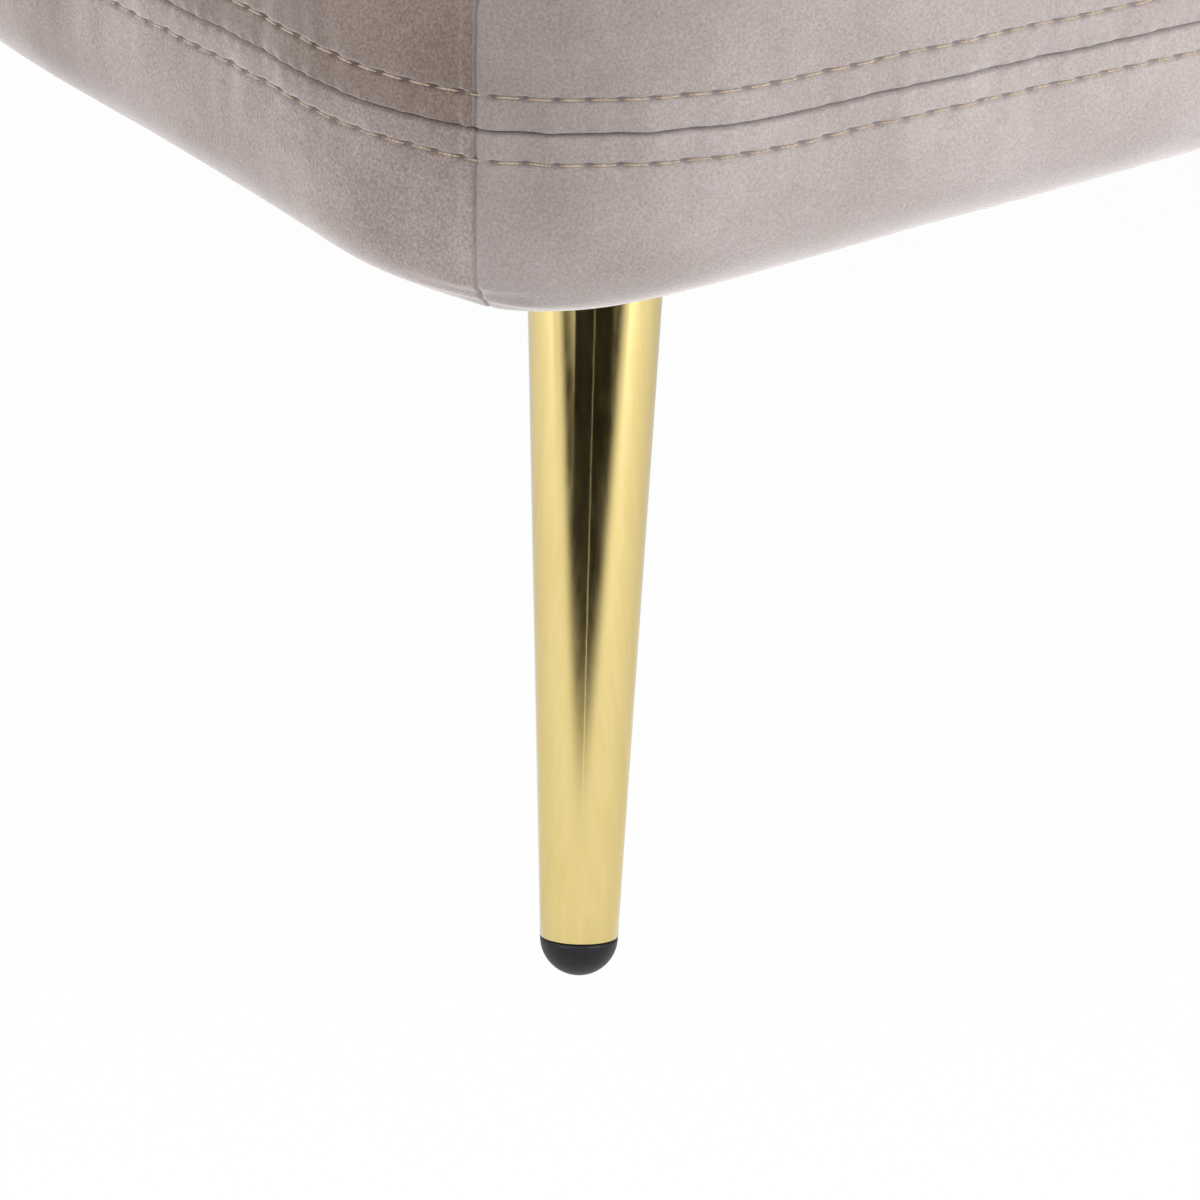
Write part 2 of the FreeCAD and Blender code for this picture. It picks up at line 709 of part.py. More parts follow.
to_head = vec(1, 0, 0)
to_rear = vec(0, 1, 0)
parts["head_outer_board"] = upright(head_blank, to_head, half_length, outer_board, board)
parts["head_inner_board"] = upright(head_blank, to_head, half_length, inner_board, board)
parts["rear_outer_board"] = upright(rear_blank, to_rear, half_depth, outer_board, board)
parts["rear_inner_board"] = upright(rear_blank, to_rear, half_depth, inner_board, board)

# Back foam, hollow where the boards and posts stand
cavity_width = post_depth + 2 * board
head_cavity = upright(head_blank, to_head, half_length, outer_board, cavity_width)
rear_cavity = upright(rear_blank, to_rear, half_depth, outer_board, cavity_width)
foam = Part.makeLoft([back_outline(station, cover + pad_gap) for station in stations], True, True)
parts["back_foam"] = foam.cut(head_cavity).cut(rear_cavity)

for name, shape in sorted(parts.items()):
    shape.exportStep(f"parts/{name}.step")
    print(name, shape.isValid(), len(shape.Solids), round(shape.Volume / 1000, 1), "cm3")
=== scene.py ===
import math

import bmesh
import bpy
from mathutils import Matrix, Vector, noise
from mathutils.bvhtree import BVHTree


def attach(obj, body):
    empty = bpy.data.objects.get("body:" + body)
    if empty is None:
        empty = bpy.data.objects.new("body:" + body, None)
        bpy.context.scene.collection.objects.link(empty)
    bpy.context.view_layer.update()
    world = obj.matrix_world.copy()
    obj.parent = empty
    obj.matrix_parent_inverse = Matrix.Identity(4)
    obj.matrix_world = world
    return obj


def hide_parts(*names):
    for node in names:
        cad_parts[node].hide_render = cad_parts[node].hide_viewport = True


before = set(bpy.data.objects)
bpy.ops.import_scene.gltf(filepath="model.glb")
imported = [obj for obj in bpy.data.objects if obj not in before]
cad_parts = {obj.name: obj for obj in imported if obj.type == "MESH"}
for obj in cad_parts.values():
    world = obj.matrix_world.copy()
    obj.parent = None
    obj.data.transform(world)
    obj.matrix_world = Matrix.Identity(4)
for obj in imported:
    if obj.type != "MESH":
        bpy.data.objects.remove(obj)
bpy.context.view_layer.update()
scene = bpy.context.scene

# Wooden frame: pine rails, blocks and posts with beech dowels and fibre boards, planed and
# glued, hidden under the upholstery. They stay as the solids and get a wood finish.


def new_material(name):
    material = bpy.data.materials.new(name)
    material.use_nodes = True
    shader = material.node_tree.nodes["Principled BSDF"]
    return material, material.node_tree.nodes, material.node_tree.links, shader


def object_space(nodes, links, stretch):
    """Object coordinates, stretched along each axis."""
    place = nodes.new("ShaderNodeTexCoord")
    mapping = nodes.new("ShaderNodeMapping")
    mapping.inputs["Scale"].default_value = stretch
    links.new(place.outputs["Object"], mapping.inputs["Vector"])
    return mapping.outputs["Vector"]


def noise_field(nodes, links, space, scale, detail=3.0, roughness=0.5):
    field = nodes.new("ShaderNodeTexNoise")
    field.inputs["Scale"].default_value = scale
    field.inputs["Detail"].default_value = detail
    field.inputs["Roughness"].default_value = roughness
    links.new(space, field.inputs["Vector"])
    return field.outputs["Fac"]


def colour_steps(nodes, links, value, steps):
    """Colour ramp through (position, colour) steps."""
    ramp = nodes.new("ShaderNodeValToRGB")
    ramp.color_ramp.elements[0].position = steps[0][0]
    ramp.color_ramp.elements[0].color = (*steps[0][1], 1)
    ramp.color_ramp.elements[1].position = steps[-1][0]
    ramp.color_ramp.elements[1].color = (*steps[-1][1], 1)
    for position, colour in steps[1:-1]:
        ramp.color_ramp.elements.new(position).color = (*colour, 1)
    links.new(value, ramp.inputs["Fac"])
    return ramp.outputs["Color"]


def bump(nodes, links, height, distance, strength):
    """Normal of a surface with fine relief."""
    node = nodes.new("ShaderNodeBump")
    node.inputs["Distance"].default_value = distance
    node.inputs["Strength"].default_value = strength
    links.new(height, node.inputs["Height"])
    return node.outputs["Normal"]


def finish_surface(nodes, links, shader, field, steps, depth, strength, roughness):
    """Colour and fine relief that both follow one field, with an even roughness."""
    links.new(colour_steps(nodes, links, field, steps), shader.inputs["Base Color"])
    links.new(bump(nodes, links, field, depth, strength), shader.inputs["Normal"])
    shader.inputs["Roughness"].default_value = roughness


def wood(name, pale, dark, stretch):
    """Planed wood whose grain runs along the axis that is stretched least."""
    material, nodes, links, shader = new_material(name)
    space = object_space(nodes, links, stretch)
    grain = noise_field(nodes, links, space, 6.0, 6.0, 0.6)
    bands = [(0.3, dark), (0.55, pale), (0.75, dark)]
    finish_surface(nodes, links, shader, grain, bands, depth=0.0004, strength=0.4, roughness=0.62)
    return material


def dress(node, material):
    """A CAD node keeps its shape and takes a finished material."""
    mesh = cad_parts[node].data
    mesh.materials.clear()
    mesh.materials.append(material)


pine_pale = (0.62, 0.42, 0.22)
pine_dark = (0.45, 0.26, 0.11)
pine_along_x = wood("pine_along_x", pine_pale, pine_dark, (1, 9, 9))
pine_along_y = wood("pine_along_y", pine_pale, pine_dark, (9, 1, 9))
pine_upright = wood("pine_upright", pine_pale, pine_dark, (9, 9, 1))
beech = wood("beech", (0.66, 0.45, 0.26), (0.52, 0.32, 0.17), (8, 8, 8))
fibre_board = wood("fibre_board", (0.28, 0.17, 0.09), (0.2, 0.12, 0.06), (30, 30, 30))
corners = ("front_foot", "front_head", "rear_foot", "rear_head")
for name in ("front_rail", "rear_rail"):
    dress(name, pine_along_x)
for name in ("foot_rail", "head_rail", "cross_rail_foot", "cross_rail_middle", "cross_rail_head"):
    dress(name, pine_along_y)
dress("back_posts", pine_upright)
dress("frame_dowels", beech)
for corner in corners:
    dress(f"corner_block_{corner}", pine_upright)
for name in ("head_inner_board", "head_outer_board", "rear_inner_board", "rear_outer_board"):
    dress(name, fibre_board)

# Fixings: zinc-plated bolts, washers and tee nuts that hold the back posts, and the screws of the
# leg plates. All of them lie inside or under the base.
zinc, nodes, links, shader = new_material("zinc_plate")
spangle = noise_field(nodes, links, object_space(nodes, links, (1, 1, 1)), 420.0, 2.0)
zinc_colours = [(0.3, (0.48, 0.48, 0.45)), (0.7, (0.66, 0.66, 0.62))]
finish_surface(nodes, links, shader, spangle, zinc_colours, depth=0.0001, strength=0.3, roughness=0.38)
shader.inputs["Metallic"].default_value = 1.0
for name in ("post_bolts", "post_washers", "post_tee_nuts", "leg_screws"):
    dress(name, zinc)

# Seat suspension: woven elastic webbing tacked to the rails, under a cotton deck cloth. It is closed
# in by the upholstery, so the solids stay and take a coarse and a fine weave.
wave_length_at_scale_one = 0.314


def woven(name, pale, dark, pitch):
    """Plain weave: threads both ways at a pitch in metres."""
    material, nodes, links, shader = new_material(name)
    space = object_space(nodes, links, (1, 1, 1))
    fields = []
    for direction in ("X", "Y"):
        threads = nodes.new("ShaderNodeTexWave")
        threads.bands_direction = direction
        threads.inputs["Scale"].default_value = wave_length_at_scale_one / pitch
        threads.inputs["Distortion"].default_value = 0.6
        links.new(space, threads.inputs["Vector"])
        fields.append(threads.outputs["Fac"])
    mix = nodes.new("ShaderNodeMath")
    mix.operation = "MULTIPLY"
    links.new(fields[0], mix.inputs[0])
    links.new(fields[1], mix.inputs[1])
    shades = [(0.0, dark), (0.8, pale)]
    finish_surface(nodes, links, shader, mix.outputs[0], shades, depth=0.0004, strength=0.6, roughness=0.9)
    return material


webbing = woven("elastic_webbing", (0.09, 0.085, 0.08), (0.02, 0.02, 0.02), 0.003)
cotton = woven("cotton_lining", (0.3, 0.28, 0.26), (0.18, 0.17, 0.16), 0.0012)
dress("webbing_cross", webbing)
dress("webbing_long", webbing)
dress("deck_cloth", cotton)

# Base cover: four lower bands and four upper panels of velvet over a foam ring, sewn together in one
# seam round the base with a row of topstitching on each side, and in a seam down each corner. The
# bands roll under the base, the panels lean in and roll over on to the deck.
half_length = 0.79
half_depth = 0.35
corner_radius = 0.08
seam_height = 0.214
underside = 0.174
base_top = 0.302
roll_radius = 0.032
seam_to_roll = seam_height - underside - roll_radius
lean_radius = 0.22
lean_angle = math.radians(10)
top_radius = (base_top - seam_height - lean_radius * math.sin(lean_angle)) / (1 - math.sin(lean_angle))
top_inset = lean_radius * (1 - math.cos(lean_angle)) + top_radius * math.cos(lean_angle)
straight_x = 2 * (half_length - corner_radius)
straight_y = 2 * (half_depth - corner_radius)
quarter = corner_radius * math.pi / 2
girth = 2 * (straight_x + straight_y) + 4 * quarter
stitch_high = 0.008
stitch_low = 0.007


def base_section(rise):
    """Inset, height and outward normal of the cover at a length above (or below) its seam."""
    if rise < 0:
        drop = -rise
        if drop < seam_to_roll:
            return 0.0, seam_height - drop, 1.0, 0.0
        angle = (drop - seam_to_roll) / roll_radius
        if angle < math.pi / 2:
            inset = roll_radius * (1 - math.cos(angle))
            height = underside + roll_radius * (1 - math.sin(angle))
            return inset, height, math.cos(angle), -math.sin(angle)
        return roll_radius * (1 + angle - math.pi / 2), underside, 0.0, -1.0
    angle = rise / lean_radius
    if angle < lean_angle:
        height = seam_height + lean_radius * math.sin(angle)
        return lean_radius * (1 - math.cos(angle)), height, math.cos(angle), math.sin(angle)
    angle = lean_angle + (rise - lean_radius * lean_angle) / top_radius
    if angle < math.pi / 2:
        height = base_top - top_radius * (1 - math.sin(angle))
        return top_inset - top_radius * math.cos(angle), height, math.cos(angle), math.sin(angle)
    return top_inset + top_radius * (angle - math.pi / 2), base_top, 0.0, 1.0


def rounded_outline(along, first_centre, run_x, run_y, radius):
    """Point and outward direction on an outline with round corners, from the start of its front side."""
    centre = first_centre
    bend = radius * math.pi / 2
    along = along % (2 * (run_x + run_y) + 4 * bend)
    for run, turn in ((run_x, 0), (run_y, 90), (run_x, 180), (run_y, 270)):
        heading = Vector((math.cos(math.radians(turn)), math.sin(math.radians(turn)), 0))
        out = Vector((heading.y, -heading.x, 0))
        if along < run:
            return centre + heading * along + out * radius, out
        along -= run
        centre = centre + heading * run
        if along < bend:
            angle = math.radians(turn - 90) + along / radius
            out = Vector((math.cos(angle), math.sin(angle), 0))
            return centre + out * radius, out
        along -= bend
    return centre + out * radius, out


def base_line(along):
    """Point and outward direction on the widest line of the base, from the photographed corner on."""
    first_centre = Vector((-straight_x / 2, -straight_y / 2, 0))
    return rounded_outline(along - quarter / 2, first_centre, straight_x, straight_y, corner_radius)


# The corner seams lie a little to one side of the corners, on the short sides.
corner_marks = (
    0,
    quarter + straight_x,
    2 * quarter + straight_x + straight_y,
    3 * quarter + 2 * straight_x + straight_y,
    girth,
)
seam_shift = 0.0115
seam_marks = [mark + side * seam_shift for mark, side in zip(corner_marks, (-1, 1, -1, 1, -1))]
seam_pitch = girth / round(girth / 0.0056)
stitch_pitch = girth / round(girth / 0.0069)


def bell(distance, width):
    """1 at no distance, falling smoothly to 0 over about twice the width."""
    return math.exp(-((distance / width) ** 2))


def ease(value):
    """0 below 0 and 1 above 1, with a smooth step between."""
    value = min(max(value, 0.0), 1.0)
    return value * value * (3 - 2 * value)


def past(distance, start, length):
    """Smooth step from 0 at the start to 1 a length beyond it."""
    return ease((distance - start) / length)


def on_short_side(along):
    return seam_marks[1] < along < seam_marks[2] or seam_marks[3] < along < seam_marks[4]


short_side_lift = 0.0041
short_side_crest = 0.0019
short_crest_at = 0.06
short_crest_width = 0.045
long_side_lift = 0.0005
long_side_crest = 0.0042
long_crest_at = 0.05
long_crest_width = 0.12


def seam_lift(along):
    """How far the seam climbs: little along the long sides, most near corners and on short sides."""
    nearest = min(abs(along - mark) for mark in (*seam_marks, girth + seam_marks[0]))
    if on_short_side(along):
        return short_side_lift + short_side_crest * bell(nearest - short_crest_at, short_crest_width)
    return long_side_lift + long_side_crest * bell(nearest - long_crest_at, long_crest_width)


seam_depth = 0.0018
seam_half_width = 0.0004
lip_height = 0.0003
lip_offset = 0.003
lip_width = 0.0018
tuck_height = 0.00018
tuck_offset = 0.0012
tuck_width = 0.001


def seam_relief(along, reach):
    """Groove of the seam round the base, the lips of cloth beside it and the tucks between its stitches."""
    tucks = math.cos(2 * math.pi * along / seam_pitch)
    lips = lip_height * bell(reach - lip_offset, lip_width)
    lips += tuck_height * bell(reach - tuck_offset, tuck_width) * tucks
    return lips - seam_depth * bell(reach, seam_half_width)


row_depth = 0.0006
needle_depth = 0.0013
row_half_width = 0.0007
swell_height = 0.0006
swell_length = 0.012


def row_relief(along, reach, row):
    """Furrow of a stitch row, deepest where the needle went in, and the swell of the cloth beyond it."""
    needle = (0.5 + 0.5 * math.cos(2 * math.pi * along / stitch_pitch)) ** 3
    furrow = (row_depth + needle_depth * needle) * bell(reach - row, row_half_width)
    return swell_height * past(reach, row, swell_length) - furrow


pucker_height = 0.0009
pucker_reach = 0.018
broad_wave_height = 0.0011
small_wave_height = 0.0004


def wave(start, rise, length, height, shift=0.0):
    """Random waves of the cloth, with a usual length along the base and a usual height up it."""
    return noise.noise(Vector((start.x / length, start.y / length, rise / height + shift)))


def wave_relief(start, rise, reach):
    """Puckers that the stitching draws up near the seam, and the slack of the cloth everywhere."""
    puckers = wave(start, rise, 0.011, 0.03) + 0.6 * wave(start, rise, 0.0058, 0.02, 8)
    slack = broad_wave_height * wave(start, rise, 0.13, 0.07)
    slack += small_wave_height * wave(start, rise, 0.035, 0.03, 5)
    return slack + pucker_height * puckers * bell(reach, pucker_reach)


allowance_height = 0.0008
allowance_offset = 0.0016
allowance_width = 0.0012
far_side_height = 0.0003
far_side_offset = 0.0035
far_side_width = 0.002
corner_groove_depth = 0.001
corner_groove_offset = 0.0006
corner_groove_width = 0.0005
gather_height = 0.0013
gather_width = 0.014
gather_fold = 0.0045
gather_length = 0.03


def corner_relief(beside, start, rise, reach):
    """Corner seam: the ridge of its turned allowance, its groove, which fades downwards, and its gathers."""
    ridge = allowance_height * bell(beside + allowance_offset, allowance_width)
    ridge += far_side_height * bell(beside - far_side_offset, far_side_width)
    groove = corner_groove_depth * bell(beside - corner_groove_offset, corner_groove_width)
    folds = noise.noise(Vector((rise / gather_fold, start.x / gather_length, start.y / gather_length)))
    gathers = gather_height * folds * bell(beside, gather_width) * past(reach, 0.012, 0.02)
    return ridge * (1 - past(-rise, 0.015, 0.02)) - groove * (1 - 0.45 * past(-rise, 0.012, 0.03)) + gathers


def base_relief(along, rise, start):
    """How far the cloth stands out from the plain section near its seams, stitches and folds."""
    reach = abs(rise)
    row = stitch_high if rise > 0 else stitch_low
    beside = min((along - mark for mark in seam_marks), key=abs)
    relief = seam_relief(along, reach) + row_relief(along, reach, row)
    return relief + wave_relief(start, rise, reach) + corner_relief(beside, start, rise, reach)


corner_reach = 0.036
corner_fullness = 0.0078
short_side_fullness = 0.0054
long_side_fullness = 0.002
corner_sag = 0.0012


def base_point(along, rise, lift=0.0):
    """Point of the finished cover and its outward normal."""
    start, out = base_line(along)
    inset, height, outward, upward = base_section(rise)
    at_corner = bell(min((along - mark for mark in corner_marks), key=abs), corner_reach)
    low_band = past(-rise, 0.008, 0.04)
    fullness = corner_fullness * at_corner + short_side_fullness * ease(abs(out.x))
    fullness += long_side_fullness * ease(1 - at_corner)
    fullness *= low_band * (1 - past(-rise, 0.055, 0.02))
    away_from_seam = past(rise, 0.012, 0.045) if rise > 0 else past(-rise, 0.008, 0.022)
    height += seam_lift(along) * (1 - away_from_seam)
    height -= corner_sag * at_corner * low_band
    normal = out * outward + Vector((0, 0, upward))
    raised = base_relief(along, rise, start) + lift
    return start - out * (inset - fullness) + Vector((0, 0, height)) + normal * raised, normal


view_reach = 0.23
seam_column = 0.0004
view_column = 0.001
far_column = 0.0045
corner_seam_zone = 0.004


def along_steps():
    """Places round the base: close together near the photographed corner, wider elsewhere."""
    places = [0.0]
    while places[-1] < girth - 2 * view_column:
        here = places[-1]
        step = view_column if min(here, girth - here) < view_reach else far_column
        if abs(here - seam_marks[4]) < corner_seam_zone:
            step = seam_column
        places.append(here + step)
    places[-1] = girth
    return places


seam_row = 0.00035
stitch_row = 0.0009
plain_row = 0.0018
fine_zone = 0.0018
stitched_zone = 0.0115


def rise_steps(low, high):
    """Places up the cover: close together at the seam and the stitch rows."""
    places = [low]
    while places[-1] < high - 1e-6:
        here = places[-1]
        row = stitch_high if here > 0 else stitch_low
        step = stitch_row if abs(here) < stitched_zone else plain_row
        if abs(here) < fine_zone or abs(abs(here) - row) < fine_zone:
            step = seam_row
        places.append(min(here + step, high))
    return places


def cloth_strip(columns, rows):
    """Flat strip of cloth with a row of vertices at each place given along and across it."""
    bm = bmesh.new()
    across, up = len(columns) - 1, len(rows) - 1
    bmesh.ops.create_grid(bm, x_segments=across, y_segments=up, size=1)
    for vert in bm.verts:
        column = round((vert.co.x + 1) / 2 * across)
        row = round((vert.co.y + 1) / 2 * up)
        vert.co = (columns[column], rows[row], 0)
    return bm


def finished(bm, name):
    """The bmesh as a smooth-shaded object of the scene."""
    for face in bm.faces:
        face.smooth = True
    mesh = bpy.data.meshes.new(name)
    bm.to_mesh(mesh)
    bm.free()
    piece = bpy.data.objects.new(name, mesh)
    scene.collection.objects.link(piece)
    return piece


def base_cover(name, low, high):
    """A strip of cover laid round the base, its ends joined at the photographed corner."""
    bm = cloth_strip(along_steps(), rise_steps(low, high))
    for face in bm.faces:
        # Faces on the short sides take the piece's second material, its copy of the velvet with painted
        # shade.
        face.material_index = 1 if on_short_side(face.calc_center_median().x) else 0
    for vert in bm.verts:
        vert.co = base_point(vert.co.x, vert.co.y)[0]
    bmesh.ops.remove_doubles(bm, verts=bm.verts, dist=0.00001)
    return finished(bm, name)


velvet_dark = (0.165, 0.134, 0.123)
velvet_mid = (0.272, 0.236, 0.226)
velvet_pale = (0.4, 0.362, 0.355)
pile_middle = 0.53
# Scale, detail and weight of the broad patches of pile, the small ones and the fibres.
pile_layers = ((7.0, 5.0, 0.55), (42.0, 2.0, 0.12), (1500.0, 2.0, 0.36))


def velvet(name, tone, spread):
    """Cut-pile velvet: pile that lies in patches, a fine speckle of fibres and a pale sheen."""
    material, nodes, links, shader = new_material(name)
    space = object_space(nodes, links, (1, 1, 1))
    nap = None
    for scale, detail, weight in pile_layers:
        layer = nodes.new("ShaderNodeMath")
        layer.operation = "MULTIPLY_ADD"
        layer.inputs[1].default_value = weight
        fibres = noise_field(nodes, links, space, scale, detail, 0.6)
        links.new(fibres, layer.inputs[0])
        if nap:
            links.new(nap, layer.inputs[2])
        else:
            layer.inputs[2].default_value = 0.0
        nap = layer.outputs[0]
    steps = []
    for shift, colour in ((-spread, velvet_dark), (0.0, velvet_mid), (spread, velvet_pale)):
        steps.append((pile_middle + shift, [channel * part for channel, part in zip(colour, tone)]))
    links.new(colour_steps(nodes, links, nap, steps), shader.inputs["Base Color"])
    shader.inputs["Roughness"].default_value = 0.95
    shader.inputs["Specular IOR Level"].default_value = 0.1
    shader.inputs["Sheen Weight"].default_value = 0.85
    shader.inputs["Sheen Roughness"].default_value = 0.4
    shader.inputs["Sheen Tint"].default_value = (1.0, 0.98, 0.98, 1)
    links.new(bump(nodes, links, fibres, 0.0003, 0.5), shader.inputs["Normal"])
    return material


# One velvet throughout, in copies with light and shade painted into the colour. The upper panels are painted
# darker than the lower bands, and those on the short sides darker and browner still. The lower bands on the
# short sides are painted warmer and more mottled: painted shade patches over the random tone of the pile.
even_spread = 0.21
mottled_spread = 0.13
taupe_velvet = velvet("taupe_velvet", (1.03, 1.03, 1.03), even_spread)
velvet_end_band_painted_shade = velvet("taupe_velvet_end_band_painted_shade", (1.04, 1.0, 0.99), mottled_spread)
velvet_upper_painted_shade = velvet("taupe_velvet_upper_painted_shade", (0.98, 0.98, 0.98), even_spread)
velvet_end_upper_painted_shade = velvet("taupe_velvet_end_upper_painted_shade", (0.77, 0.7, 0.65), mottled_spread)
lower_hem = 0.018
upper_hem = 0.011
lower_edge = -(seam_to_roll + roll_radius * math.pi / 2 + lower_hem)
upper_edge = lean_radius * lean_angle + top_radius * (math.pi / 2 - lean_angle) + upper_hem
sides = ("front", "head", "rear", "foot")
lower_band = base_cover("base_lower_bands", lower_edge, 0.0)
upper_panel = base_cover("base_upper_panels", 0.0, upper_edge)
# Each cover takes one velvet copy for its long sides and one with more painted shade for its short sides.
covers = (
    (lower_band, "base_lower", (taupe_velvet, velvet_end_band_painted_shade)),
    (upper_panel, "base_upper", (velvet_upper_painted_shade, velvet_end_upper_painted_shade)),
)
for piece, prefix, painted_copies in covers:
    for nap in painted_copies:
        piece.data.materials.append(nap)
    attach(piece, "root")
    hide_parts(*[f"{prefix}_{side}" for side in sides])
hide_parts("base_padding")

# Topstitching of the base: two rows of thick thread, each stitch a short bar that sinks into the
# cloth at both ends.
thread_radius = 0.00027
stitch_length = 0.0054
thread_lift = 0.0002


def stitch_row_mesh(place_at, length):
    """Row of stitches; place_at gives a point and the outward normal at a length along the row."""
    one = bmesh.new()
    bmesh.ops.create_uvsphere(one, u_segments=6, v_segments=6, radius=1)
    pattern = bpy.data.meshes.new("stitch_pattern")
    one.to_mesh(pattern)
    one.free()
    size = Matrix.Diagonal((thread_radius, thread_radius, stitch_length / 2, 1))
    bm = bmesh.new()
    for index in range(int(length / stitch_pitch)):
        middle = (index + 0.5) * stitch_pitch
        here, normal = place_at(middle)
        ahead, _ = place_at(middle + stitch_length / 2)
        behind, _ = place_at(middle - stitch_length / 2)
        heading = (ahead - behind).normalized()
        side = normal.cross(heading).normalized()
        normal = heading.cross(side)
        turn = Matrix((side, normal, heading)).transposed().to_4x4()
        stitch = pattern.copy()
        stitch.transform(Matrix.Translation(here) @ turn @ size)
        bm.from_mesh(stitch)
        bpy.data.meshes.remove(stitch)
    bpy.data.meshes.remove(pattern)
    return bm


thread, nodes, links, shader = new_material("beige_thread")
twist = noise_field(nodes, links, object_space(nodes, links, (1, 1, 1)), 2600.0, 2.0)
thread_colours = [(0.35, (0.2, 0.13, 0.08)), (0.65, (0.46, 0.36, 0.26))]
finish_surface(nodes, links, shader, twist, thread_colours, depth=0.0002, strength=0.6, roughness=0.55)
shader.inputs["Sheen Weight"].default_value = 0.3


def lay_stitches(name, place_at, length):
    """A row of stitches as a piece of the scene."""
    piece = finished(stitch_row_mesh(place_at, length), name)
    piece.data.materials.append(thread)
    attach(piece, "root")


for name, rise in (("base_stitches_lower", -stitch_low), ("base_stitches_upper", stitch_high)):
    lay_stitches(name, lambda along: base_point(along, rise, thread_lift), girth)

# Seat cushion: a foam core in a velvet cover with a boxing strip, crowned on top and drawn in between
# its corners. The cover is blown up from a slightly smaller block, so it swells as stuffed cloth does.
back_inset = 0.008
back_thickness = 0.125
back_inner = back_inset + back_thickness
seat_height = 0.432
seat_gap = 0.009
rest_gap = 0.0005
seat_low = base_top + rest_gap
seat_seam = seat_height - 0.024
seat_edge_inset = 0.002
seat_x = (seat_edge_inset - half_length, half_length - back_inner - seat_gap)
seat_y = (seat_edge_inset - half_depth, half_depth - back_inner - seat_gap)
seat_corner = 0.074
seat_rim = 0.014
crown = 0.017
voxel = 0.0075
held_foot = 0.004
pressure_frames = 20


def evaluated_mesh(piece):
    """The piece's mesh with its modifiers applied."""
    graph = bpy.context.evaluated_depsgraph_get()
    return bpy.data.meshes.new_from_object(piece.evaluated_get(graph))


def stuffed(bm, name, cap, held):
    """The shape remeshed evenly and blown up as cloth under pressure, no point moving beyond the cap."""
    piece = finished(bm, name)
    remesh = piece.modifiers.new("even_mesh", "REMESH")
    remesh.mode = "VOXEL"
    remesh.voxel_size = voxel
    even = evaluated_mesh(piece)
    piece.modifiers.clear()
    piece.data = even
    group = piece.vertex_groups.new(name="held")
    group.add([vert.index for vert in even.vertices if held(vert.co)], 1.0, "REPLACE")
    cloth = piece.modifiers.new("pressure", "CLOTH")
    cloth.settings.quality = 3
    cloth.settings.mass = 0.4
    cloth.settings.tension_stiffness = 18
    cloth.settings.compression_stiffness = 18
    cloth.settings.bending_stiffness = 1.2
    cloth.settings.use_pressure = True
    cloth.settings.uniform_pressure_force = 4
    cloth.settings.effector_weights.gravity = 0
    cloth.settings.vertex_group_mass = group.name
    start = [vert.co.copy() for vert in even.vertices]
    for moment in range(1, pressure_frames + 1):
        scene.frame_set(moment)
    swollen = evaluated_mesh(piece)
    for vert, before, after in zip(even.vertices, start, swollen.vertices):
        move = after.co - before
        vert.co = before + move * min(1.0, cap / max(move.length, 1e-9))
    piece.modifiers.clear()
    piece.vertex_groups.clear()
    bpy.data.meshes.remove(swollen)
    scene.frame_set(1)
    for face in even.polygons:
        face.use_smooth = True
    finer = piece.modifiers.new("finer", "SUBSURF")
    finer.levels = 1
    finer.render_levels = 1
    fine = evaluated_mesh(piece)
    piece.modifiers.clear()
    piece.data = fine
    return piece


def round_edges(bm, edges, radius, segments):
    bmesh.ops.bevel(
        bm, geom=edges, offset=radius, offset_type="OFFSET", segments=segments, profile=0.5,
        affect="EDGES", material=-1,
    )


def climb(edge):
    return abs(edge.verts[0].co.z - edge.verts[1].co.z)


seat_start = bmesh.new()
bmesh.ops.create_cube(seat_start, size=1)
seat_slack = 0.003
low = Vector((seat_x[0] + seat_slack, seat_y[0] + seat_slack, seat_low))
high = Vector((seat_x[1] - seat_slack, seat_y[1] - seat_slack, seat_height - crown))
bmesh.ops.scale(seat_start, vec=high - low, verts=seat_start.verts)
bmesh.ops.translate(seat_start, vec=(high + low) / 2, verts=seat_start.verts)
upright = [edge for edge in seat_start.edges if climb(edge) > 0.05]
round_edges(seat_start, upright, seat_corner, segments=10)
rims = [edge for edge in seat_start.edges if climb(edge) < 0.001]
round_edges(seat_start, rims, seat_rim, segments=3)
seat = stuffed(seat_start, "seat_cushion", 0.02, lambda place: place.z < seat_low + held_foot)
front_overhang = 0.001
back_press = 0.004
seat_seam_depth = 0.002
seat_seam_width = 0.0045
seat_wave_height = 0.0009
seat_wave_scale = 14
middle_x = (seat_x[0] + seat_x[1]) / 2
middle_y = (seat_y[0] + seat_y[1]) / 2
seat_normals = [vert.normal.copy() for vert in seat.data.vertices]
for vert, normal in zip(seat.data.vertices, seat_normals):
    at_seam = bell(vert.co.z - seat_seam, seat_seam_width)
    vert.co.x = min(max(vert.co.x, seat_x[0] - front_overhang), seat_x[1] + back_press)
    vert.co.y = min(max(vert.co.y, seat_y[0] - front_overhang), seat_y[1] + back_press)
    vert.co.z = max(vert.co.z, seat_low)
    away = Vector((vert.co.x - middle_x, vert.co.y - middle_y, 0)).normalized()
    vert.co -= away * seat_seam_depth * at_seam
    vert.co += normal * seat_wave_height * noise.noise(vert.co * seat_wave_scale)
seat.data.materials.append(taupe_velvet)
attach(seat, "root")
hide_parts("seat_foam", "seat_top_panel", "seat_boxing", "seat_lining")

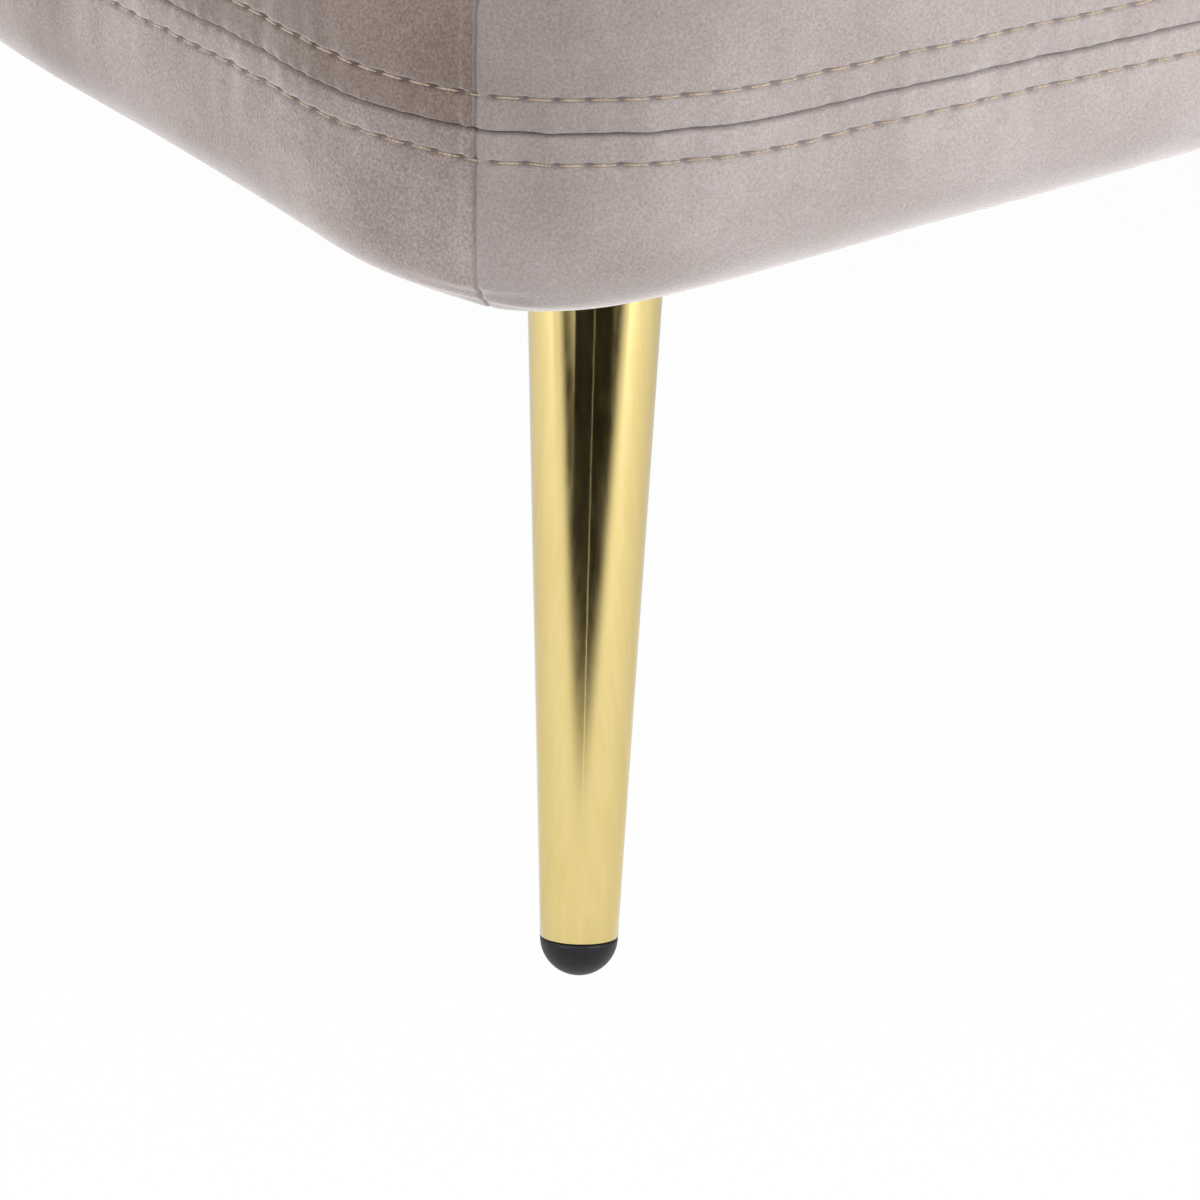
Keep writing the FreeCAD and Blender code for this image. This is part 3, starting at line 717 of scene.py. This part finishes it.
# Backrest: foam over boards and posts, covered in an inner and an outer panel that meet in a seam
# along the crest, closed by flat facings at both ends. It wraps the head end and falls towards the foot.
overall_height = 0.78
back_lean = 0.085
back_low_top = seat_height + 0.04
back_bottom = base_top + rest_gap
back_end_inset = 0.035
back_front_y = back_end_inset - half_depth
back_foot_x = back_end_inset - half_length
front_run = 0.15
front_drop = 0.12
outer_round = corner_radius - back_inset
inner_round = 0.06
outer_axis = Vector((half_length - back_inset - outer_round, half_depth - back_inset - outer_round, 0))
inner_axis = Vector((half_length - back_inner - inner_round, half_depth - back_inner - inner_round, 0))
bend_lead = 0.05
head_end = inner_axis.y - bend_lead
rear_start = inner_axis.x - bend_lead
bend_run = 0.105
turn_run = 0.104
head_run = head_end - back_front_y
rear_run = rear_start - back_foot_x
back_run = head_run + 2 * bend_run + turn_run + rear_run
crest_round = 0.46
steepest = 0.995
fall_start = 0.02
fall_length = 0.9


def head_top(y):
    """Height of the crest at the head end, rounded down towards the front."""
    shortfall = 1 - min((y - back_front_y) / front_run, 1)
    return overall_height - front_drop * (1 - math.sqrt(1 - min(shortfall, steepest) ** 2))


def rear_top(x):
    """Height of the crest along the rear, falling towards the foot end."""
    travelled = (half_length - back_inner - x) / (half_length - back_inner - back_foot_x)
    return overall_height - (overall_height - back_low_top) * past(travelled, fall_start, fall_length)


def back_station(run):
    """Plan points on the outer and the inner face and the height of the crest, at a run along the back."""
    turned_0 = (outer_axis + Vector((outer_round, 0, 0)), inner_axis + Vector((inner_round, 0, 0)))
    turned_1 = (outer_axis + Vector((0, outer_round, 0)), inner_axis + Vector((0, inner_round, 0)))
    if run < head_run:
        y = back_front_y + run
        return Vector((half_length - back_inset, y, 0)), Vector((half_length - back_inner, y, 0)), head_top(y)
    run -= head_run
    if run < bend_run:
        share = run / bend_run
        outer = Vector((half_length - back_inset, head_end, 0)).lerp(turned_0[0], share)
        inner = Vector((half_length - back_inner, head_end, 0)).lerp(turned_0[1], share)
        return outer, inner, overall_height
    run -= bend_run
    if run < turn_run:
        angle = math.pi / 2 * run / turn_run
        out = Vector((math.cos(angle), math.sin(angle), 0))
        return outer_axis + out * outer_round, inner_axis + out * inner_round, overall_height
    run -= turn_run
    if run < bend_run:
        share = run / bend_run
        outer = turned_1[0].lerp(Vector((rear_start, half_depth - back_inset, 0)), share)
        inner = turned_1[1].lerp(Vector((rear_start, half_depth - back_inner, 0)), share)
        return outer, inner, rear_top(inner.x)
    x = rear_start - (run - bend_run)
    return Vector((x, half_depth - back_inset, 0)), Vector((x, half_depth - back_inner, 0)), rear_top(x)


# Shares of the way round the section at which its outer face, crest and inner face end.
outer_end = 0.3
crest_end = 0.5
inner_end = 0.8


def back_point(run, share, slack):
    """Point of the back's outline at a run along it; share goes once round the section."""
    outer, inner, top = back_station(min(max(run, 0.0), back_run))
    width = (inner - outer).length
    across = (inner - outer).normalized()
    radius = crest_round * (width - back_lean * (top - back_bottom)) - slack
    shoulder = top - radius
    inner_high = width - back_lean * (shoulder - back_bottom) - slack
    crest = (slack + inner_high) / 2
    if share < outer_end:
        part = share / outer_end
        offset, height = slack, back_bottom + (shoulder - back_bottom) * part
    elif share < crest_end:
        angle = math.pi * (1 - (share - outer_end) / (crest_end - outer_end))
        offset = crest + (inner_high - slack) / 2 * math.cos(angle)
        height = shoulder + radius * math.sin(angle)
    elif share < inner_end:
        part = (share - crest_end) / (inner_end - crest_end)
        height = shoulder + (back_bottom - shoulder) * part
        offset = width - back_lean * (height - back_bottom) - slack
    else:
        part = (share - inner_end) / (1 - inner_end)
        offset, height = (width - slack) * (1 - part) + slack * part, back_bottom
    return outer + across * offset + Vector((0, 0, height))


held_crest = 0.011


def crest_held(place):
    """Held points of the back: its foot and the seam along its crest."""
    beside_head = place.x > inner_axis.x
    top = head_top(min(place.y, head_end)) if beside_head else rear_top(place.x)
    return place.z < back_bottom + held_foot or place.z > top - held_crest


back_slack = 0.005
run_steps = 180
section_steps = 50
runs = [back_slack + (back_run - 2 * back_slack) * step / run_steps for step in range(run_steps + 1)]
back_start = cloth_strip(runs, [step / section_steps for step in range(section_steps + 1)])
for vert in back_start.verts:
    vert.co = back_point(vert.co.x, vert.co.y, back_slack)
bmesh.ops.remove_doubles(back_start, verts=back_start.verts, dist=0.0001)
rims = [edge for edge in back_start.edges if edge.is_boundary]
bmesh.ops.holes_fill(back_start, edges=rims, sides=0)
bmesh.ops.recalc_face_normals(back_start, faces=back_start.faces)
back = stuffed(back_start, "back_cushion", 0.012, crest_held)
crest_play = 0.004
edge_clear = 0.002
back_wave_height = 0.001
back_wave_scale = 12
back_normals = [vert.normal.copy() for vert in back.data.vertices]
for vert, normal in zip(back.data.vertices, back_normals):
    vert.co.z = min(max(vert.co.z, back_bottom), overall_height + crest_play)
    vert.co.x = min(vert.co.x, half_length - edge_clear)
    vert.co.y = min(vert.co.y, half_depth - edge_clear)
    vert.co += normal * back_wave_height * noise.noise(vert.co * back_wave_scale)
back.data.materials.append(taupe_velvet)
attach(back, "root")
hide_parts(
    "back_foam", "back_inner_panel", "back_outer_panel", "back_facing_front", "back_facing_foot",
)

# Topstitching of seat and back: the same thread and pitch as on the base, on both sides of the seat's
# upper seam and of the seam along the crest of the back.


def surface_of(piece):
    """Tree of the piece's faces, for rays that look for its surface."""
    bm = bmesh.new()
    bm.from_mesh(piece.data)
    tree = BVHTree.FromBMesh(bm)
    bm.free()
    return tree


seat_surface = surface_of(seat)
back_surface = surface_of(back)
seat_half_x = (seat_x[1] - seat_x[0]) / 2 - seat_corner
seat_half_y = (seat_y[1] - seat_y[0]) / 2 - seat_corner
seat_quarter = seat_corner * math.pi / 2
seat_girth = 4 * (seat_half_x + seat_half_y + seat_quarter)
side_ray_start = 0.05
top_ray_start = 0.1
row_end = 0.02


def seat_stitch(along, height):
    """Point and normal on the side of the swollen seat, at a length round it and a height."""
    first_centre = Vector((middle_x - seat_half_x, middle_y - seat_half_y, 0))
    start, out = rounded_outline(along, first_centre, 2 * seat_half_x, 2 * seat_half_y, seat_corner)
    origin = start + out * side_ray_start + Vector((0, 0, height))
    place, normal, _, _ = seat_surface.ray_cast(origin, -out)
    if place is None:
        return start + Vector((0, 0, height)), out
    return place, normal


def crest_stitch(run, aside):
    """Point and normal on top of the swollen back, at a run along it and a distance from its crest."""
    outer, inner, top = back_station(min(max(run, 0.0), back_run))
    across = (inner - outer).normalized()
    width = (inner - outer).length
    crest = (width - back_lean * (top - back_bottom)) / 2
    origin = outer + across * (crest + aside) + Vector((0, 0, overall_height + top_ray_start))
    place, normal, _, _ = back_surface.ray_cast(origin, Vector((0, 0, -1)))
    if place is None:
        return outer + Vector((0, 0, top)), Vector((0, 0, 1))
    return place, normal


for name, side in (("seat_stitches_lower", -1), ("seat_stitches_upper", 1)):
    lay_stitches(name, lambda along: seat_stitch(along, seat_seam + side * stitch_low), seat_girth)
for name, side in (("back_stitches_outer", -1), ("back_stitches_inner", 1)):
    lay_stitches(name, lambda run: crest_stitch(run + row_end, side * stitch_high), back_run - 2 * row_end)

# Dust cover: a sheet of thin black non-woven cloth stretched under the frame and stapled to its edges;
# it sags a little in the middle.
dust_inset = 0.038
dust_half_x = half_length - dust_inset
dust_half_y = half_depth - dust_inset
dust_corner = corner_radius - dust_inset
dust_sag = 0.005
dust_ripple = 0.0006
dust_gap = 0.0008
dust_bm = bmesh.new()
bmesh.ops.create_grid(dust_bm, x_segments=150, y_segments=62, size=1)
for vert in dust_bm.verts:
    x, y = vert.co.x, vert.co.y
    sag = dust_sag * (1 - abs(x) ** 8) * (1 - abs(y) ** 4)
    ripple = dust_ripple * noise.noise(Vector((x * 9, y * 7, 2.0))) * (1 - x * x) * (1 - y * y)
    place = Vector((x * dust_half_x, y * dust_half_y, 0))
    over_x = abs(place.x) - (dust_half_x - dust_corner)
    over_y = abs(place.y) - (dust_half_y - dust_corner)
    if over_x > 0 and over_y > 0:
        pull = max(over_x, over_y) / math.hypot(over_x, over_y)
        place.x -= math.copysign(over_x * (1 - pull), place.x)
        place.y -= math.copysign(over_y * (1 - pull), place.y)
    vert.co = place + Vector((0, 0, underside - dust_gap - sag + ripple))
dust = finished(dust_bm, "dust_sheet")
cambric, nodes, links, shader = new_material("black_cambric")
felt = noise_field(nodes, links, object_space(nodes, links, (1, 1, 1)), 700.0, 5.0, 0.65)
felt_colours = [(0.3, (0.008, 0.008, 0.009)), (0.7, (0.03, 0.03, 0.032))]
finish_surface(nodes, links, shader, felt, felt_colours, depth=0.0003, strength=0.5, roughness=0.92)
dust.data.materials.append(cambric)
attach(dust, "root")
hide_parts("dust_cover")

# Legs: tapered steel tubes, gold-plated and polished, splayed outwards and welded to square plates
# that are screwed up under the corner blocks.
leg_top = 0.1705
leg_inset_x = 0.075
leg_inset_y = 0.072
splay = Vector((0.161, 0.192, 1))
leg_top_radius = 0.016
leg_foot_radius = 0.009
glide_flat = 0.0005
foot_height = leg_foot_radius - glide_flat
leg_bore = 0.0012


def leg_axis(corner):
    """Foot centre and upward direction of the leg at a corner."""
    x_side = -1 if corner.endswith("foot") else 1
    y_side = -1 if corner.startswith("front") else 1
    lean = Vector((-x_side * splay.x, -y_side * splay.y, 1))
    top = Vector((x_side * (half_length - leg_inset_x), y_side * (half_depth - leg_inset_y), leg_top))
    return top - lean * (leg_top - foot_height), lean


def turned_piece(profile, steps):
    """Profile of (radius, height) points spun about its upright axis."""
    bm = bmesh.new()
    last = bm.verts.new((profile[0][0], 0, profile[0][1]))
    for radius, height in profile[1:]:
        vert = bmesh.ops.extrude_vert_indiv(bm, verts=[last])["verts"][0]
        vert.co = (radius, 0, height)
        last = vert
    geom = bm.verts[:] + bm.edges[:]
    bmesh.ops.spin(
        bm, geom=geom, cent=(0, 0, 0), axis=(0, 0, 1), angle=2 * math.pi, steps=steps, use_merge=True,
    )
    bmesh.ops.remove_doubles(bm, verts=bm.verts, dist=0.000005)
    bmesh.ops.recalc_face_normals(bm, faces=bm.faces)
    return bm


def stand_on_axis(bm, corner):
    """Moves a turned piece from the origin to the foot of the leg at a corner and leans it as the leg."""
    foot, lean = leg_axis(corner)
    turn = lean.to_track_quat("Z", "Y").to_matrix().to_4x4()
    bmesh.ops.transform(bm, matrix=Matrix.Translation(foot) @ turn, verts=bm.verts)


gold, nodes, links, shader = new_material("gold_plate")
streaks = noise_field(nodes, links, object_space(nodes, links, (420, 420, 6)), 1.0, 4.0, 0.6)
gold_colours = [(0.3, (0.7, 0.555, 0.225)), (0.7, (0.75, 0.605, 0.27))]
links.new(colour_steps(nodes, links, streaks, gold_colours), shader.inputs["Base Color"])
gloss = nodes.new("ShaderNodeMapRange")
gloss.inputs["To Min"].default_value = 0.05
gloss.inputs["To Max"].default_value = 0.14
links.new(streaks, gloss.inputs["Value"])
links.new(gloss.outputs["Result"], shader.inputs["Roughness"])
links.new(bump(nodes, links, streaks, 0.00003, 0.25), shader.inputs["Normal"])
shader.inputs["Metallic"].default_value = 1.0

axis_length = (leg_top - foot_height) * splay.length
overrun = 0.012
taper = (leg_top_radius - leg_foot_radius) / axis_length
far_radius = leg_top_radius + taper * overrun
rounding = 0.0004
bore_depth = 0.006
rings = 24
leg_profile = [(leg_foot_radius - leg_bore, bore_depth), (leg_foot_radius - leg_bore, 0.0)]
leg_profile += [(leg_foot_radius - rounding, 0.0), (leg_foot_radius, rounding)]
for ring in range(1, rings + 1):
    share = ring / rings
    radius = leg_foot_radius + (far_radius - leg_foot_radius) * share
    leg_profile.append((radius, (axis_length + overrun) * share))
for corner in corners:
    bm = turned_piece(leg_profile, steps=96)
    stand_on_axis(bm, corner)
    geom = bm.verts[:] + bm.edges[:] + bm.faces[:]
    bmesh.ops.bisect_plane(bm, geom=geom, plane_co=(0, 0, leg_top), plane_no=(0, 0, 1), clear_outer=True)
    piece = finished(bm, f"leg_tube_{corner}")
    piece.data.materials.append(gold)
    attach(piece, "root")
    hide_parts(f"leg_{corner}")
    dress(f"leg_plate_{corner}", gold)

# Glides: black moulded domes pressed into the leg ends. Each has a small flat where it stands on the
# floor.
glide_black, nodes, links, shader = new_material("black_nylon")
grain = noise_field(nodes, links, object_space(nodes, links, (1, 1, 1)), 900.0, 3.0)
nylon_colours = [(0.3, (0.004, 0.004, 0.005)), (0.7, (0.008, 0.008, 0.01))]
finish_surface(nodes, links, shader, grain, nylon_colours, depth=0.0001, strength=0.3, roughness=0.4)
shader.inputs["Specular IOR Level"].default_value = 0.3
glide_lip = 0.0009
glide_gap = 0.0001
arc_steps = 14
glide_profile = [(0.0, -leg_foot_radius)]
for step in range(1, arc_steps + 1):
    angle = math.pi / 2 * step / arc_steps
    glide_profile.append((leg_foot_radius * math.sin(angle), -leg_foot_radius * math.cos(angle)))
glide_profile.append((leg_foot_radius - glide_lip, -glide_gap))
for corner in corners:
    bm = turned_piece(glide_profile, steps=64)
    stand_on_axis(bm, corner)
    for vert in bm.verts:
        vert.co.z = max(vert.co.z, 0.0)
    piece = finished(bm, f"glide_dome_{corner}")
    piece.data.materials.append(glide_black)
    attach(piece, "root")
    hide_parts(f"glide_{corner}")

# Studio: a white floor in a white surround. The camera and mirrors see both whiter than the light that
# they give to the object, and the floor keeps a trace of its shadow.
floor_to_camera = 0.975
floor_to_mirror = 0.5
ambient = 0.75


def white_to_camera(nodes, links, share, mirrored):
    """One share for camera rays, another for mirror and glass rays, 0 for the rays that carry light."""
    path = nodes.new("ShaderNodeLightPath")
    shares = (("Is Camera Ray", share), ("Is Glossy Ray", mirrored), ("Is Transmission Ray", mirrored))
    total = None
    for kind, part in shares:
        add = nodes.new("ShaderNodeMath")
        add.operation = "MULTIPLY_ADD"
        add.inputs[1].default_value = part
        add.inputs[2].default_value = 0.0
        links.new(path.outputs[kind], add.inputs[0])
        if total:
            links.new(total, add.inputs[2])
        total = add.outputs[0]
    return total


def blend_shaders(nodes, links, factor, first, second):
    """The material's surface as a mix of two shaders."""
    blend = nodes.new("ShaderNodeMixShader")
    links.new(factor, blend.inputs["Fac"])
    links.new(first, blend.inputs[1])
    links.new(second, blend.inputs[2])
    links.new(blend.outputs["Shader"], nodes["Material Output"].inputs["Surface"])


floor_bm = bmesh.new()
bmesh.ops.create_grid(floor_bm, x_segments=1, y_segments=1, size=12)
floor = finished(floor_bm, "floor")
floor_white, nodes, links, shader = new_material("floor_white")
shader.inputs["Base Color"].default_value = (0.9, 0.9, 0.9, 1)
shader.inputs["Roughness"].default_value = 0.9
glow = nodes.new("ShaderNodeEmission")
seen = white_to_camera(nodes, links, floor_to_camera, floor_to_mirror)
blend_shaders(nodes, links, seen, shader.outputs["BSDF"], glow.outputs["Emission"])
floor.data.materials.append(floor_white)

world = bpy.data.worlds.new("studio")
scene.world = world
world.use_nodes = True
sky = world.node_tree.nodes["Background"]
sky.inputs["Color"].default_value = (1, 1, 1, 1)
strength = world.node_tree.nodes.new("ShaderNodeMath")
strength.operation = "ADD"
strength.inputs[1].default_value = ambient
seen = white_to_camera(world.node_tree.nodes, world.node_tree.links, 1 - ambient, 1 - ambient)
world.node_tree.links.new(seen, strength.inputs[0])
world.node_tree.links.new(strength.outputs[0], sky.inputs["Strength"])

# Dark cards: the unlit room beyond the front edge of the white floor, which only the polished legs
# mirror. A narrow gap between the cards is the pale line in that reflection.
camera_yaw = math.radians(34.1)
camera_pitch = math.radians(25.6)
up = Vector((0, 0, 1))
towards_camera = Vector((-math.sin(camera_yaw), -math.cos(camera_yaw), 0))
leg_foot = leg_axis("front_foot")[0]
card_near = 0.5
card_dark = 1.5
card_far = 4.0
card_width = 2.6
card_height = 0.4
card_gap = 0.035
card_lift = 0.002
card_black, nodes, links, shader = new_material("card_black")
shader.inputs["Base Color"].default_value = (0.012, 0.01, 0.008, 1)
shader.inputs["Roughness"].default_value = 1.0
shader.inputs["Specular IOR Level"].default_value = 0.0
distance = nodes.new("ShaderNodeVectorMath")
distance.operation = "DOT_PRODUCT"
distance.inputs[1].default_value = towards_camera
links.new(object_space(nodes, links, (1, 1, 1)), distance.inputs[0])
fade = nodes.new("ShaderNodeMapRange")
fade.interpolation_type = "SMOOTHSTEP"
fade.inputs["From Min"].default_value = leg_foot.dot(towards_camera) + card_near
fade.inputs["From Max"].default_value = leg_foot.dot(towards_camera) + card_dark
links.new(distance.outputs["Value"], fade.inputs["Value"])
clear = nodes.new("ShaderNodeBsdfTransparent")
blend_shaders(nodes, links, fade.outputs["Result"], clear.outputs["BSDF"], shader.outputs["BSDF"])
card_turn = Matrix((towards_camera.cross(up), towards_camera, up)).transposed().to_4x4()
card_place = Vector((leg_foot.x, leg_foot.y, card_lift)) + towards_camera * card_near
for name, side in (("dark_card_left", -1), ("dark_card_right", 1)):
    card_bm = bmesh.new()
    near_inner = card_bm.verts.new((side * card_gap / 2, 0, 0))
    near_outer = card_bm.verts.new((side * card_width, 0, 0))
    edge = card_bm.edges.new((near_inner, near_outer))
    for move in (Vector((0, card_far - card_near, 0)), Vector((0, 0, card_height))):
        made = bmesh.ops.extrude_edge_only(card_bm, edges=[edge])["geom"]
        moved = [item for item in made if isinstance(item, bmesh.types.BMVert)]
        bmesh.ops.translate(card_bm, vec=move, verts=moved)
        edge = [item for item in made if isinstance(item, bmesh.types.BMEdge)][0]
    bmesh.ops.transform(card_bm, matrix=Matrix.Translation(card_place) @ card_turn, verts=card_bm.verts)
    card = finished(card_bm, name)
    card.data.materials.append(card_black)
    card.visible_camera = False
    card.visible_diffuse = False
    card.visible_shadow = False
    card.visible_transmission = False

# Lamps: soft squares above and on both sides, and weak ones near the floor for the light that a white
# floor throws back. Only the key and the fill are mirrored in the legs.


def soft_light(name, place, target, size, power, mirrored=False):
    lamp = bpy.data.lights.new(name, "AREA")
    lamp.shape = "SQUARE"
    lamp.size = size
    lamp.energy = power
    holder = bpy.data.objects.new(name, lamp)
    holder.location = place
    holder.rotation_euler = (Vector(target) - Vector(place)).to_track_quat("-Z", "Y").to_euler()
    holder.visible_glossy = mirrored
    scene.collection.objects.link(holder)


soft_light("key", (0.6, -3.2, 2.4), (0, 0, 0.3), size=2.2, power=60, mirrored=True)
soft_light("fill", (-3.4, -0.8, 2.0), (-0.4, 0, 0.3), size=2.2, power=36, mirrored=True)
soft_light("rear_fill", (1.6, 3.2, 2.3), (0, 0, 0.4), size=2.2, power=36)
soft_light("corner", (-1.9, -2.6, 1.5), (-0.7, -0.3, 0.2), size=1.2, power=7)
soft_light("low_fill", (0.7, -2.1, 0.35), (-0.3, -0.35, 0.22), size=1.0, power=8)
soft_light("bounce_front", (0.1, -1.15, 0.04), (-0.3, -0.35, 0.2), size=0.8, power=15)
soft_light("bounce_foot", (-1.6, 0.42, 0.04), (-0.79, 0.1, 0.2), size=0.8, power=9)

# Camera: the photograph's own view, a long lens that looks down on the front corner of the foot end.
photo_pixels = 1200
focal_pixels = 7000
camera_data = bpy.data.cameras.new("camera")
camera_data.sensor_width = 36
camera_data.lens = camera_data.sensor_width * focal_pixels / photo_pixels
camera_data.clip_end = 60
camera = bpy.data.objects.new("camera", camera_data)
camera.location = (-1.533, -1.4874, 0.7745)
camera.rotation_euler = (math.pi / 2 - camera_pitch, 0, -camera_yaw)
scene.collection.objects.link(camera)
scene.camera = camera
scene.view_settings.view_transform = "Standard"
